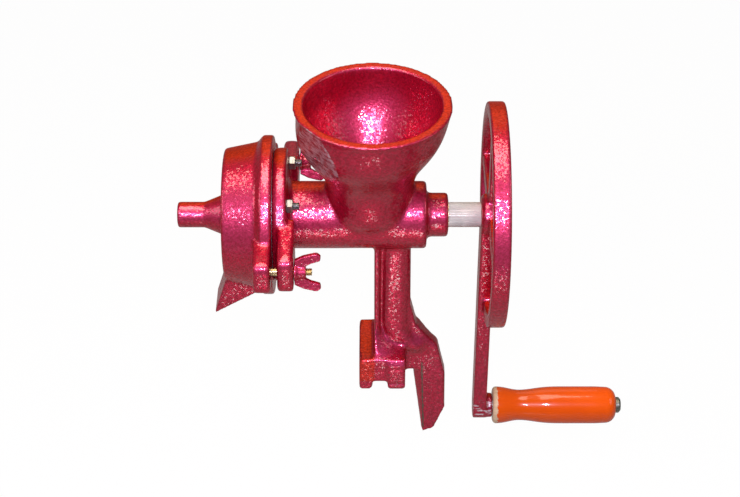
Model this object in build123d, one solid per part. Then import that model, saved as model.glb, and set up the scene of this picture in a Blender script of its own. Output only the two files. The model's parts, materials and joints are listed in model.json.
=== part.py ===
from build123d import *
import math
import os

# Hand crank peanut grinder, millimetres, +Z up.
# The crank shaft runs along X with the crank at +X and the grinding head at -X.
# Everything is drawn about the shaft axis, with x = 0 at the hopper neck, and is
# moved on export so that the origin lies on the foot rail that rests on the bench.

# ---------------------------------------------------------------- main places
shaft_height = 160.5            # shaft axis above the bench face of the foot rails
flange_face_x = -74.0           # joint face of the body flange
barrel_end_x = 45.0             # rear end of the feed barrel
boss_end_x = 62.4               # rear end of the bearing boss
hub_face_x = 88.4               # front face of the crank wheel's hub

# ---------------------------------------------------------------- clearances
running = 0.05                  # radial play of a shaft or spindle in its bore
seat_gap = 0.3                  # axial play between faces that pass each other
joint_play = 0.02               # radial play of a pin or bolt that is held still
bolt_play = 0.4                 # radial play of a bolt in a drilled lug

# ---------------------------------------------------------------- feed barrel
barrel_radius = 27.0
barrel_bore = 21.0
barrel_bore_end_x = 28.0
boss_radius = 17.6
boss_edge = 1.5

# ---------------------------------------------------------------- hopper bowl
rim_height = 104.5              # rim above the shaft axis
rim_radius = 62.0
rim_offset = 2.0                # the rim's centre sits a little to the crank side
rim_width = 8.3
bowl_wall = 6.0
# centre x, outer radius and height of the bowl's level sections, rim downwards
bowl_sections = [
    (rim_offset, rim_radius, rim_height),
    (1.5, 59.0, 90.5),
    (-1.0, 55.0, 72.5),
    (-1.0, 42.5, 52.5),
    (0.0, 35.0, 34.5),
    (0.0, barrel_radius - 1.5, 2.0),
]
throat_radius = 17.0            # inside the neck, where it meets the barrel
funnel_foot = [(-0.5, 27.0, 38.0), (0.0, throat_radius, 22.0)]
rim_edge_round = 1.4
facet_normal = (-0.763, -0.595, -0.251)   # flat ground on the bowl's lower left
facet_distance = 31.0           # of that flat from the point where neck and shaft cross

# ---------------------------------------------------------------- body flange
flange_radius = 53.6
flange_thick = 9.0
flange_edge = 1.0
seat_ring_height = 2.3          # the cover bears on this ring
seat_ring_outer = 52.4
seat_ring_inner = 49.0

# ---------------------------------------------------------------- lugs for the cover studs
stud_offset = 75.0              # studs from the shaft axis, front and rear
cover_lug_past = 13.0           # how far the lugs reach past the studs
body_lug_past = 11.0
lug_root_y = 40.0
body_lug_root = 25.0            # half height where the lug leaves the disc
body_lug_top = 16.0
body_lug_bottom = 12.5
body_lug_start_x = -71.5
body_lug_end_x = -58.6
cover_lug_root = 18.0
cover_lug_top = 13.5
cover_lug_bottom = 13.5
cover_lug_start_x = -90.0
lug_corner = 6.5

# ---------------------------------------------------------------- leg, pad and claw
rib_left_x = 3.5                # thin rib down the leg's left edge
rib_thick = 4.6
rib_half_width = 12.0
column_x = 20.5                 # round column of the leg
column_half_width = 9.5
column_half_depth = 11.5
leg_right_x = 33.0
claw_half_thick = 7.0
# x and height above the bench face, from the inner edge round to the leg
claw_inner_top = (36.2, 3.0)
claw_tip = (44.9, -67.7)
claw_toe = (55.1, -64.0)
claw_heel = (64.2, -39.7)
claw_back = [
    (63.6, -2.5), (60.7, 10.0), (56.9, 28.3), (47.8, 39.5), (38.3, 52.5), (33.4, 73.8),
]
claw_corner = 4.0
claw_bevel_top = 8.0            # width of the bevel on the claw's inner edge
claw_bevel_bottom = 1.5
claw_bevel_depth = 5.0
shoulder_start = (17.0, 41.0)   # rounded root from the column's foot out to the claw
shoulder_end = (39.0, 30.5)
shoulder_radius = 7.5
shoulder_front = 12.0
pad_left_x = -9.0
pad_right_x = 29.5
pad_half_depth = 28.0
pad_thick = 23.0
rail_depth = 8.0                # how far the foot rails stand below the pad
left_rail_width = 11.3
right_rail_width = 14.7
rail_chamfer = 1.6
face_rib_proud = 2.0            # serrated face above the right rail
face_rib_pitch = 5.2
rib_root_rise = 26.0            # of the root that spreads from the rib to the pad's edge
pad_root_rise = 6.0             # of the slope between that root and the claw
root_bend = 0.4                 # 0.5 is a straight slope, less is hollow

# ---------------------------------------------------------------- front cover
cover_bore = 50.0
pan_end_x = -115.6
pan_end_radius = 53.2
pan_root_x = -89.0
pan_root_radius = 58.4
pan_floor = 5.6
pan_edge_round = 1.4
cover_flange_radius = 63.6
cover_flange_start_x = -85.5
nose_end_x = -153.6
nose_radius = 10.3
nose_taper_x = -132.0
nose_root_radius = 17.0

# ---------------------------------------------------------------- outlet spout of the cover
spout_half_width = 15.5
spout_wall = 3.6
spout_root_z = -50.0
spout_lip_x = -127.6
spout_lip_z = -89.0
spout_heel_x = -90.0
spout_heel_z = -66.0

# ---------------------------------------------------------------- shaft
shaft_radius = 10.0
journal_radius = 7.0            # front journal, inside the cover's nose
journal_start_x = -124.0
square_seat = 14.0              # square that drives the crank wheel
thread_radius = 6.0
shaft_end_x = 111.5
bush_outer = 13.0
bush_start_x = 30.3

# ---------------------------------------------------------------- thrust ball and adjusting screw
ball_radius = 4.0
ball_socket_depth = 4.2
screw_radius = 5.0
screw_end_x = -151.5
screw_slot_width = 1.6
screw_slot_depth = 2.5

# ---------------------------------------------------------------- feed worm
worm_start_x = -81.5
worm_end_x = 24.0
worm_root = 13.2
worm_outer = 20.0
worm_pitch = 30.0
worm_crest = 3.6
worm_flank = 6.4
worm_flight_start_x = -77.0
worm_flight_end_x = 18.0
worm_pin_x = 21.0
worm_pin_radius = 2.0
thrust_washer_thick = 3.6

# ---------------------------------------------------------------- grinding plates
fixed_plate_radius = 48.0
fixed_plate_thick = 8.0
fixed_plate_eye = 20.8
plate_step = 0.9                # the bolted edge lies below the grinding face
tooth_depth = 1.8
tooth_count = 20
tooth_lean = 12.0               # degrees each groove leans from the radius
grind_gap = 0.6
moving_plate_radius = 38.0
moving_plate_thick = 8.0
moving_hub_radius = 16.5
moving_hub_length = 9.0
drive_pin_radius = 3.0
drive_pin_length = 31.0
plate_bolt_circle = 42.0
plate_bolt_radius = 3.0
plate_bolt_head = 5.4
plate_bolt_head_depth = 2.6
plate_bolt_proud = 5.0
plate_nut_across = 10.0
plate_nut_thick = 5.0

# ---------------------------------------------------------------- cover studs and wing nuts
stud_radius = 3.0
stud_start_x = -87.0
stud_end_x = -44.5
wing_hub_radius = 5.6
wing_hub_length = 9.5
wing_root_reach = 10.2
wing_reach = 15.8
wing_rise = 21.0
wing_thick = 4.8
wing_seat_gap = 0.6             # the wings stand clear of the lug

# ---------------------------------------------------------------- crank wheel
rim_outer = 90.5
wheel_rim_thick = 12.5
wheel_rim_left_x = 93.0
wheel_rim_right_x = 107.0
hub_outer = 17.0
crank_left_x = 88.6
crank_right_x = 100.0
crank_throw = 203.5
arm_root_width = 27.0
arm_end_width = 22.0
crank_boss_end_x = 105.4
spoke_count = 3
spoke_root_width = 15.0
spoke_end_width = 11.0
spoke_left_x = 94.2
hub_back_x = 102.0
wheel_washer_radius = 12.5
wheel_washer_thick = 2.0
wheel_nut_across = 19.0
wheel_nut_thick = 6.5

# ---------------------------------------------------------------- handle
spindle_radius = 4.75
handle_left_x = 105.8
handle_length = 106.4
handle_flare = 15.9
handle_belly = 16.0
# distance from the crank end and radius, from the flare along the grip
handle_profile = [
    (3.0, handle_flare), (20.0, 13.3), (42.0, 15.2), (62.0, handle_belly),
    (84.0, handle_belly),
]
handle_end_taper = 0.5
handle_end_round = 8.0
end_nut_radius = 6.8
end_nut_thick = 4.2

# ---------------------------------------------------------------- derived places
right_rail_centre_x = pad_right_x - right_rail_width / 2
pad_bottom = rail_depth - shaft_height
pad_top = pad_bottom + pad_thick
body_lug_reach = stud_offset + body_lug_past
cover_lug_reach = stud_offset + cover_lug_past
cover_face_x = flange_face_x - seat_ring_height
flange_back_x = flange_face_x + flange_thick
fixed_plate_face_x = flange_face_x - fixed_plate_thick
moving_plate_face_x = fixed_plate_face_x - grind_gap
moving_plate_back_x = moving_plate_face_x - moving_plate_thick
moving_hub_end_x = moving_plate_back_x - moving_hub_length
drive_pin_x = moving_plate_back_x - moving_hub_length / 2
journal_end_x = moving_plate_face_x + running
ball_x = journal_start_x + ball_socket_depth - ball_radius
screw_start_x = ball_x - ball_radius - running
wheel_nut_x = hub_back_x + wheel_washer_thick
handle_right_x = handle_left_x + handle_length
hidden = 1.0                    # overlap that lets two joined forms fuse cleanly


def turned(points):
    """Solid turned about the shaft axis from (x, radius) points."""
    return revolve(make_face(Polyline(*points, close=True)), axis=Axis.X)


def rod(x0, x1, radius, y=0.0, z=0.0):
    """Cylinder along X between x0 and x1."""
    lying = Location(((x0 + x1) / 2, y, z), (0, 90, 0))
    return lying * Cylinder(radius, x1 - x0)


def block(x0, x1, y0, y1, z0, z1):
    """Box between two opposite corners."""
    centre = Location(((x0 + x1) / 2, (y0 + y1) / 2, (z0 + z1) / 2))
    return centre * Box(x1 - x0, y1 - y0, z1 - z0)


def hexagon_prism(x0, x1, across_flats, y=0.0, z=0.0):
    """Hexagonal bar along X."""
    face = RegularPolygon(across_flats / math.sqrt(3), 6)
    return Pos(x0, y, z) * extrude(Plane.YZ * face, x1 - x0)


def side_plate(outline, half_thick, y=0.0):
    """Plate standing in the XZ plane, drawn as (x, z) points."""
    face = make_face(Plane.XZ * Polyline(*outline, close=True))
    return Pos(0, y, 0) * extrude(face, half_thick, both=True)


def save(node, shape):
    """Write one piece, moved from the shaft axis to the bench face."""
    placed = Pos(-right_rail_centre_x, 0, shaft_height) * shape
    export_step(placed, "parts/" + node + ".step")


def stud_sides():
    """Front stud first, then the rear one."""
    return (("front", -1), ("rear", 1))


def plate_bolt_places():
    """Centres (y, z) of the four bolts that hold the fixed plate."""
    reach = plate_bolt_circle * math.sin(math.radians(45))
    return [(y, z) for y in (-reach, reach) for z in (-reach, reach)]


# ================================================================ body casting
def level_loft(sections):
    """Loft through level circles given as (centre x, radius, height)."""
    rings = [Pos(x, 0, z) * Circle(r) for x, r, z in reversed(sections)]
    return loft(Sketch() + rings)


def bowl_outside():
    shape = level_loft(bowl_sections)
    flat = Plane(origin=Vector(*facet_normal) * facet_distance, z_dir=facet_normal)
    return split(shape, bisect_by=flat, keep=Keep.BOTTOM)


def bowl_inside():
    """Funnel that is cut out of the bowl, with a narrower wall than the rim."""
    inner = [(x, r - bowl_wall, z) for x, r, z in bowl_sections[1:4]]
    inner += funnel_foot
    top = (rim_offset, rim_radius - rim_width, rim_height)
    above = (rim_offset, rim_radius - rim_width, rim_height + hidden)
    funnel = level_loft([top] + inner)
    mouth = Pos(rim_offset, 0, rim_height + hidden / 2) * Cylinder(above[1], hidden)
    drop_top = inner[-1][2]
    drop = Pos(0, 0, drop_top / 2) * Cylinder(throat_radius, drop_top)
    return funnel + mouth + drop


def lug(side, reach, top, bottom, root, x0, x1):
    """One lug of the flange, seen along X as a tapering tab with round corners."""
    outline = Polyline(
        (side * lug_root_y, root),
        (side * reach, top),
        (side * reach, -bottom),
        (side * lug_root_y, -root),
        close=True,
    )
    face = make_face(outline)
    corners = [v for v in face.vertices() if abs(v.X) > reach - 1]
    tab = fillet(corners, lug_corner)
    return Pos(x0, 0, 0) * extrude(Plane.YZ * tab, x1 - x0)


def above_bench(points):
    """Points given as (x, height above the bench face), about the shaft axis."""
    return [(x, height - shaft_height) for x, height in points]


def leg():
    """Leg with its left rib, round column, claw and the claw's shoulder."""
    rib = block(
        rib_left_x, rib_left_x + rib_thick,
        -rib_half_width, rib_half_width, pad_top - hidden, -barrel_radius / 2,
    )
    column_height = pad_bottom + barrel_radius / 2
    column = Pos(column_x, 0, pad_bottom) * extrude(
        Ellipse(column_half_width, column_half_depth), -column_height
    )
    lower = [(pad_right_x, claw_inner_top[1]), claw_inner_top, claw_tip, claw_toe, claw_heel]
    web_x = rib_left_x + rib_thick - hidden
    outline = [(web_x, 0.0), (web_x, pad_bottom + hidden)]
    outline += above_bench(lower + claw_back) + [(leg_right_x, 0.0)]
    face = make_face(Plane.XZ * Polyline(*outline, close=True))
    corner_heights = [z for _, z in above_bench([claw_toe, claw_heel])]
    corners = [
        v for v in face.vertices() if min(abs(v.Z - z) for z in corner_heights) < 0.1
    ]
    plate = extrude(fillet(corners, claw_corner), claw_half_thick, both=True)
    return rib + column + plate + claw_shoulder() - claw_bevels()


def claw_shoulder():
    """Rounded bars, front and rear, that lead from the column's foot to the claw."""
    (x0, z0), (x1, z1) = above_bench([shoulder_start, shoulder_end])
    length = math.hypot(x1 - x0, z1 - z0)
    fall = math.degrees(math.atan2(z0 - z1, x1 - x0))
    bars = []
    for side in (-1, 1):
        y = side * (shoulder_front - shoulder_radius)
        lying = Location(((x0 + x1) / 2, y, (z0 + z1) / 2), (0, 90 + fall, 0))
        bars.append(lying * Cylinder(shoulder_radius, length))
        bars.append(Pos(x0, y, z0) * Sphere(shoulder_radius))
        bars.append(Pos(x1, y, z1) * Sphere(shoulder_radius))
    return bars


def claw_bevels():
    """Wedges that thin the claw's inner edge, wider at the top."""
    (top_x, top_z), (tip_x, tip_z) = above_bench([claw_inner_top, claw_tip])
    wedges = []
    for side in (-1, 1):
        face_y = side * (claw_half_thick + hidden)
        deep_y = side * (claw_half_thick - claw_bevel_depth)
        upper = make_face(Polyline(
            (top_x - hidden, face_y, top_z),
            (top_x + claw_bevel_top, face_y, top_z),
            (top_x - hidden, deep_y, top_z),
            close=True,
        ))
        lower = make_face(Polyline(
            (tip_x - hidden, face_y, tip_z - hidden),
            (tip_x + claw_bevel_bottom, face_y, tip_z - hidden),
            (tip_x - hidden, deep_y, tip_z - hidden),
            close=True,
        ))
        wedges.append(loft(Sketch() + [upper, lower]))
    return wedges


def rail(x0, x1):
    """One foot rail with its lower edges taken off."""
    face_z = pad_bottom - rail_depth
    outline = Polyline(
        (x0, pad_bottom + hidden), (x0, face_z + rail_chamfer),
        (x0 + rail_chamfer, face_z), (x1 - rail_chamfer, face_z),
        (x1, face_z + rail_chamfer), (x1, pad_bottom + hidden), close=True,
    )
    return extrude(make_face(Plane.XZ * outline), pad_half_depth, both=True)


def pad_root(side, rise, x0, x1):
    """Hollow slope from the pad's long edge up to the leg."""
    reach = pad_half_depth - claw_half_thick
    corner = (side * pad_half_depth, pad_top)
    high = (side * claw_half_thick, pad_top + rise)
    bend = (side * (claw_half_thick + reach * root_bend), pad_top + rise * root_bend)
    curve = ThreePointArc(corner, bend, high)
    base = Polyline(high, (0, pad_top + rise), (0, pad_top - hidden),
                    (side * pad_half_depth, pad_top - hidden), corner)
    root = make_face(Plane.YZ * (Curve() + [curve, base]))
    return Pos(x0, 0, 0) * extrude(root, x1 - x0, dir=(1, 0, 0))


def pad():
    """Foot pad with two rails, its roots up to the leg and a serrated face."""
    shape = block(
        pad_left_x, pad_right_x, -pad_half_depth, pad_half_depth, pad_bottom, pad_top
    )
    rib_x0 = pad_right_x - right_rail_width
    shape += rail(pad_left_x, pad_left_x + left_rail_width)
    shape += rail(rib_x0, pad_right_x)
    rib_right_x = rib_left_x + rib_thick
    for side in (-1, 1):
        shape += pad_root(side, rib_root_rise, rib_left_x, rib_right_x)
        shape += pad_root(side, pad_root_rise, rib_right_x - hidden, pad_right_x)
    # low ridges across the face above the right rail
    ridge_top = pad_top - 2 * rail_chamfer
    face_rib = block(
        rib_x0, pad_right_x, -pad_half_depth - face_rib_proud, -pad_half_depth,
        pad_bottom - rail_depth + rail_chamfer, ridge_top,
    )
    grooves = int((ridge_top - pad_bottom + rail_depth) / face_rib_pitch)
    groove_side = face_rib_proud * 0.8
    for i in range(1, grooves):
        z = ridge_top - i * face_rib_pitch
        face_rib -= Pos((rib_x0 + pad_right_x) / 2, -pad_half_depth - face_rib_proud, z) * (
            Rotation(45, 0, 0) * Box(right_rail_width + hidden, groove_side, groove_side)
        )
    return shape + face_rib


def grinder_body():
    barrel = turned([
        (flange_face_x, 0), (flange_face_x, flange_radius - flange_edge),
        (flange_face_x + flange_edge, flange_radius),
        (flange_back_x - flange_edge, flange_radius),
        (flange_back_x, flange_radius - flange_edge),
        (flange_back_x, barrel_radius + 3.0), (flange_back_x + 3.0, barrel_radius),
        (barrel_end_x - boss_edge, barrel_radius),
        (barrel_end_x, barrel_radius - boss_edge),
        (barrel_end_x, boss_radius),
        (boss_end_x - boss_edge, boss_radius),
        (boss_end_x, boss_radius - boss_edge), (boss_end_x, 0),
    ])
    ring = rod(cover_face_x, flange_face_x + hidden, seat_ring_outer)
    shape = barrel + ring + bowl_outside() + leg() + pad()
    for _, side in stud_sides():
        shape += lug(
            side, body_lug_reach, body_lug_top, body_lug_bottom, body_lug_root,
            body_lug_start_x, body_lug_end_x,
        )
    shape -= rod(cover_face_x - hidden, flange_face_x, seat_ring_inner)
    shape -= rod(cover_face_x - hidden, barrel_bore_end_x, barrel_bore)
    shape -= rod(0, boss_end_x + hidden, bush_outer)
    shape -= bowl_inside()
    for _, side in stud_sides():
        y = side * stud_offset
        shape -= rod(flange_face_x - 5, body_lug_end_x + 5, stud_radius + bolt_play, y)
    for y, z in plate_bolt_places():
        hole = plate_bolt_radius + bolt_play
        shape -= rod(flange_face_x - 5, flange_back_x + 5, hole, y, z)
    rim_edges = shape.edges().filter_by(GeomType.CIRCLE).group_by(Axis.Z)[-1]
    return fillet(rim_edges, rim_edge_round)


# ================================================================ front cover
def spout_outline(inset, past):
    """Spout seen from the front, (x, z); its left wall leans out to a sharp lip."""
    lean = (pan_end_x - spout_lip_x) / (spout_root_z - spout_lip_z)
    fall = (spout_lip_z - spout_heel_z) / (spout_lip_x - spout_heel_x)
    low_x = spout_lip_x + inset - lean * past
    low_z = spout_lip_z + fall * inset - past
    return [
        (pan_end_x + inset, spout_root_z + inset), (low_x, low_z),
        (spout_heel_x, spout_heel_z - past),
        (cover_flange_start_x + hidden - inset, spout_heel_z - past),
        (cover_flange_start_x + hidden - inset, spout_root_z + inset),
    ]


def front_cover():
    outside = turned([
        (nose_end_x, 0), (nose_end_x, nose_radius - 1), (nose_end_x + 1, nose_radius),
        (nose_taper_x, nose_radius), (pan_end_x, nose_root_radius),
        (pan_end_x, pan_end_radius - pan_edge_round),
        (pan_end_x + pan_edge_round, pan_end_radius),
        (pan_root_x, pan_root_radius),
        (cover_flange_start_x - 1.2, cover_flange_radius - 2.2),
        (cover_flange_start_x + 1.0, cover_flange_radius),
        (cover_face_x - 1.0, cover_flange_radius),
        (cover_face_x, cover_flange_radius - 1.0),
        (cover_face_x, 0),
    ])
    spout = side_plate(spout_outline(0, 0), spout_half_width)
    shape = outside + spout
    for _, side in stud_sides():
        shape += lug(
            side, cover_lug_reach, cover_lug_top, cover_lug_bottom, cover_lug_root,
            cover_lug_start_x, cover_face_x,
        )
    shape -= rod(pan_end_x + pan_floor, cover_face_x + hidden, cover_bore)
    passage = side_plate(spout_outline(spout_wall, 8.0), spout_half_width - spout_wall)
    shape -= passage
    shape -= rod(screw_start_x + 1.0, pan_end_x + pan_floor + hidden,
                 journal_radius + running)
    shape -= rod(nose_end_x - hidden, screw_start_x + 1.5, screw_radius + joint_play)
    for _, side in stud_sides():
        y = side * stud_offset
        shape -= rod(stud_start_x - joint_play, cover_face_x + hidden,
                     stud_radius + joint_play, y)
    return shape


# ================================================================ shaft group
def drive_shaft():
    shape = turned([
        (journal_start_x, 0), (journal_start_x, journal_radius - 0.6),
        (journal_start_x + 0.6, journal_radius), (journal_end_x, journal_radius),
        (journal_end_x, shaft_radius), (hub_face_x, shaft_radius), (hub_face_x, 0),
    ])
    square = block(
        hub_face_x - hidden, hub_back_x - 0.5,
        -square_seat / 2, square_seat / 2, -square_seat / 2, square_seat / 2,
    )
    shape += square & rod(hub_face_x - hidden, shaft_end_x, shaft_radius - 0.4)
    shape += rod(hub_face_x, shaft_end_x, thread_radius)
    shape -= rod(journal_start_x - hidden, journal_start_x + ball_socket_depth,
                 ball_radius + running)
    shape -= cross_hole(drive_pin_x, drive_pin_radius + joint_play)
    shape -= cross_hole(worm_pin_x, worm_pin_radius + joint_play)
    return shape


def cross_hole(x, radius, length=4 * barrel_bore):
    """Upright cylinder across the shaft."""
    return Pos(x, 0, 0) * Cylinder(radius, length)


def feed_worm():
    hub = turned([
        (worm_start_x, 0), (worm_start_x, worm_root - 2.0),
        (worm_start_x + 3.0, worm_root), (worm_end_x, worm_root), (worm_end_x, 0),
    ])
    travel = worm_flight_end_x - worm_flight_start_x
    helix = Helix(worm_pitch, travel, worm_root, center=(worm_flight_start_x, 0, 0),
                  direction=(1, 0, 0))
    start = helix @ 0
    radial = Vector(0, start.Y, start.Z).normalized()
    section_plane = Plane(origin=start, x_dir=radial, z_dir=helix % 0)
    height = worm_outer - worm_root
    section = make_face(Polyline(
        (-hidden, -worm_flank / 2), (height, -worm_crest / 2),
        (height, worm_crest / 2), (-hidden, worm_flank / 2), close=True,
    ))
    flight = sweep(section_plane * section, path=helix, is_frenet=True)
    shape = hub + flight
    shape -= rod(worm_start_x - hidden, worm_end_x + hidden, shaft_radius + joint_play)
    shape -= cross_hole(worm_pin_x, worm_pin_radius + joint_play)
    return shape


def worm_pin():
    return cross_hole(worm_pin_x, worm_pin_radius, 2 * worm_root - 0.4)


def thrust_washer():
    x0 = worm_end_x + running
    shape = rod(x0, x0 + thrust_washer_thick, barrel_bore - 1.5)
    return shape - rod(x0 - hidden, x0 + 9, shaft_radius + joint_play)


def grooves(face_x, depth, inner, outer, lean, way):
    """V grooves across a plate face, each leaning from the radius."""
    length = outer - inner + 8.0
    cutter = make_face(Polyline((0, -depth), (depth, 0), (0, depth), close=True))
    cuts = []
    for i in range(tooth_count):
        turn = 360.0 * i / tooth_count
        one = extrude(Plane(origin=(0, 0, inner - 1.0), x_dir=(way, 0, 0), z_dir=(0, 0, 1))
                      * cutter, length)
        leaning = Location((0, 0, inner)) * Rotation(lean, 0, 0) * Location((0, 0, -inner))
        cuts.append(Pos(face_x, 0, 0) * Rotation(turn, 0, 0) * leaning * one)
    return cuts


def fixed_plate():
    shape = rod(fixed_plate_face_x, flange_face_x, fixed_plate_radius)
    shape -= rod(fixed_plate_face_x - 1, flange_face_x + 1, fixed_plate_eye)
    seat = fixed_plate_face_x + plate_step
    shape -= rod(fixed_plate_face_x - 1, seat, fixed_plate_radius + hidden) - rod(
        fixed_plate_face_x - 1, seat, moving_plate_radius
    )
    shape -= grooves(fixed_plate_face_x, tooth_depth, fixed_plate_eye - 1,
                     moving_plate_radius - 5, tooth_lean, 1)
    for y, z in plate_bolt_places():
        shape -= rod(seat - 1, flange_face_x + 1, plate_bolt_radius + joint_play, y, z)
        shape -= countersink(seat, joint_play, y, z)
    return shape


def countersink(x, play, y, z):
    """Cone of a countersunk head, wide end at x."""
    head = turned([
        (x, 0), (x, plate_bolt_head + play),
        (x + plate_bolt_head_depth, plate_bolt_radius + play),
        (x + plate_bolt_head_depth, 0),
    ])
    return Pos(0, y, z) * head


def plate_bolts():
    seat = fixed_plate_face_x + plate_step
    end = flange_back_x + plate_nut_thick + plate_bolt_proud
    bolts = []
    for y, z in plate_bolt_places():
        shank = rod(seat, end, plate_bolt_radius, y, z)
        slot = block(seat - 1, seat + 0.9, y - 0.6, y + 0.6, z - 6, z + 6)
        bolts.append(shank + countersink(seat, 0, y, z) - slot)
    return Compound(bolts)


def plate_nuts():
    nuts = []
    x0 = flange_back_x + joint_play
    for y, z in plate_bolt_places():
        nut = hexagon_prism(x0, x0 + plate_nut_thick, plate_nut_across, y, z)
        hole = rod(x0 - 1, x0 + plate_nut_thick + 1, plate_bolt_radius + joint_play, y, z)
        nuts.append(nut - hole)
    return Compound(nuts)


def rotating_plate():
    shape = rod(moving_plate_back_x, moving_plate_face_x, moving_plate_radius)
    shape += rod(moving_hub_end_x, moving_plate_back_x + hidden, moving_hub_radius)
    shape -= grooves(moving_plate_face_x, tooth_depth, fixed_plate_eye - 3,
                     moving_plate_radius - 5, -tooth_lean, -1)
    shape -= rod(moving_hub_end_x - 1, moving_plate_face_x + 1, journal_radius + joint_play)
    wide = drive_pin_radius + joint_play
    shape -= block(
        moving_hub_end_x - 1, drive_pin_x + wide, -wide, wide,
        -moving_hub_radius - 1, moving_hub_radius + 1,
    )
    return shape


def plate_drive_pin():
    return cross_hole(drive_pin_x, drive_pin_radius, drive_pin_length)


def rear_bush():
    shape = rod(bush_start_x, boss_end_x, bush_outer - joint_play)
    return shape - rod(bush_start_x - 1, boss_end_x + 1, shaft_radius + running)


def thrust_ball():
    return Pos(ball_x, 0, 0) * Sphere(ball_radius)


def adjusting_screw():
    shape = turned([
        (screw_end_x, 0), (screw_end_x, screw_radius - 0.8),
        (screw_end_x + 0.8, screw_radius), (screw_start_x - 1.0, screw_radius),
        (screw_start_x, screw_radius - 1.0), (screw_start_x, 0),
    ])
    half = screw_slot_width / 2
    return shape - block(screw_end_x - 1, screw_end_x + screw_slot_depth,
                         -screw_radius, screw_radius, -half, half)


# ================================================================ studs and wing nuts
def cover_stud(side):
    y = side * stud_offset
    shape = rod(stud_start_x, stud_end_x, stud_radius, y)
    return chamfer(shape.edges().group_by(Axis.X)[-1], 0.8)


def wing_nut(side):
    """Cast wing nut: a tapered hub with two wings that sweep out and away."""
    hub = turned([
        (0, 0), (0, wing_hub_radius + 0.8), (1.6, wing_hub_radius + 0.8),
        (3.2, wing_hub_radius), (wing_hub_length, wing_hub_radius - 0.8),
        (wing_hub_length, 0),
    ])
    middle = (wing_root_reach + wing_reach) / 2
    outline = Polyline(
        (wing_seat_gap, stud_radius / 2), (wing_seat_gap, wing_root_reach),
        (wing_rise * 0.34, middle + 0.4), (wing_rise * 0.66, wing_reach - 0.7),
        (wing_rise - 3.0, wing_reach), (wing_rise, wing_reach - 2.4),
        (wing_rise - 0.6, wing_reach - 6.0), (wing_rise * 0.64, wing_hub_radius + 2.2),
        (wing_hub_length - 1.0, wing_hub_radius - 0.6),
        (wing_hub_length - 1.0, stud_radius / 2), close=True,
    )
    face = make_face(outline)
    rounded = fillet([v for v in face.vertices() if v.X > wing_rise * 0.6], 1.6)
    wing = extrude(rounded, wing_thick / 2, both=True)
    shape = hub + wing + Rotation(180, 0, 0) * wing
    shape -= rod(-hidden, 2 * wing_rise, stud_radius + running)
    turn = 78 if side < 0 else 64
    seat = body_lug_end_x + joint_play
    return Pos(seat, side * stud_offset, 0) * Rotation(turn, 0, 0) * shape


# ================================================================ crank wheel and handle
def tapered_bar(root, end, start_z, end_z, x0, x1):
    """Flat bar that hangs down from start_z to end_z and narrows on the way."""
    outline = Polyline(
        (-root / 2, start_z), (root / 2, start_z), (end / 2, end_z), (-end / 2, end_z),
        close=True,
    )
    return Pos(x0, 0, 0) * extrude(Plane.YZ * make_face(outline), x1 - x0)


def crank_wheel():
    rim_inner = rim_outer - wheel_rim_thick
    rim = turned([
        (wheel_rim_left_x, rim_inner + 1.5), (wheel_rim_left_x, rim_outer - 1.0),
        (wheel_rim_left_x + 1.0, rim_outer), (wheel_rim_right_x - 1.0, rim_outer),
        (wheel_rim_right_x, rim_outer - 1.0), (wheel_rim_right_x, rim_inner + 1.5),
        ((wheel_rim_left_x + wheel_rim_right_x) / 2, rim_inner),
    ])
    hub = turned([
        (hub_face_x, 0), (hub_face_x, hub_outer - 3.5), (hub_face_x + 2.6, hub_outer),
        (hub_back_x, hub_outer), (hub_back_x, 0),
    ])
    shape = rim + hub
    arm = tapered_bar(arm_root_width, arm_end_width, 0, -crank_throw,
                      crank_left_x, crank_right_x)
    arm += rod(crank_left_x, crank_right_x, arm_end_width / 2, 0, -crank_throw)
    arm += rod(crank_right_x - hidden, crank_boss_end_x, arm_end_width / 2 - 0.5, 0,
               -crank_throw)
    shape += arm
    for i in range(1, spoke_count + 1):
        spoke = tapered_bar(spoke_root_width, spoke_end_width, 0, -rim_inner - 2.0,
                            spoke_left_x, hub_back_x)
        shape += Rotation(360.0 * i / (spoke_count + 1), 0, 0) * spoke
    half = square_seat / 2 + joint_play
    bore = block(hub_face_x - 1, hub_back_x + 1, -half, half, -half, half)
    shape -= bore & rod(hub_face_x - 1, hub_back_x + 1,
                        shaft_radius - 0.4 + joint_play)
    shape -= rod(crank_left_x - 1, crank_boss_end_x + 1, spindle_radius + joint_play, 0,
                 -crank_throw)
    return shape


def wheel_washer():
    x0 = hub_back_x + joint_play
    shape = rod(x0, x0 + wheel_washer_thick - 2 * joint_play, wheel_washer_radius)
    return shape - rod(x0 - 1, x0 + 9, thread_radius + joint_play)


def wheel_nut():
    shape = hexagon_prism(wheel_nut_x, wheel_nut_x + wheel_nut_thick, wheel_nut_across)
    return shape - rod(wheel_nut_x - 1, wheel_nut_x + 20, thread_radius + joint_play)


def handle_spindle():
    end = handle_right_x + end_nut_thick - 0.6
    return rod(crank_left_x + 0.3, end, spindle_radius, 0, -crank_throw)


def handle_end_nut():
    x0 = handle_right_x + seat_gap / 2
    x1 = x0 + end_nut_thick
    shape = turned([
        (x0, 0), (x0, end_nut_radius), (x1 - 1.6, end_nut_radius),
        (x1, end_nut_radius - 1.8), (x1, 0),
    ])
    shape -= rod(x0 - 1, x1 - 0.6 + joint_play, spindle_radius + joint_play)
    return Pos(0, 0, -crank_throw) * shape


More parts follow.
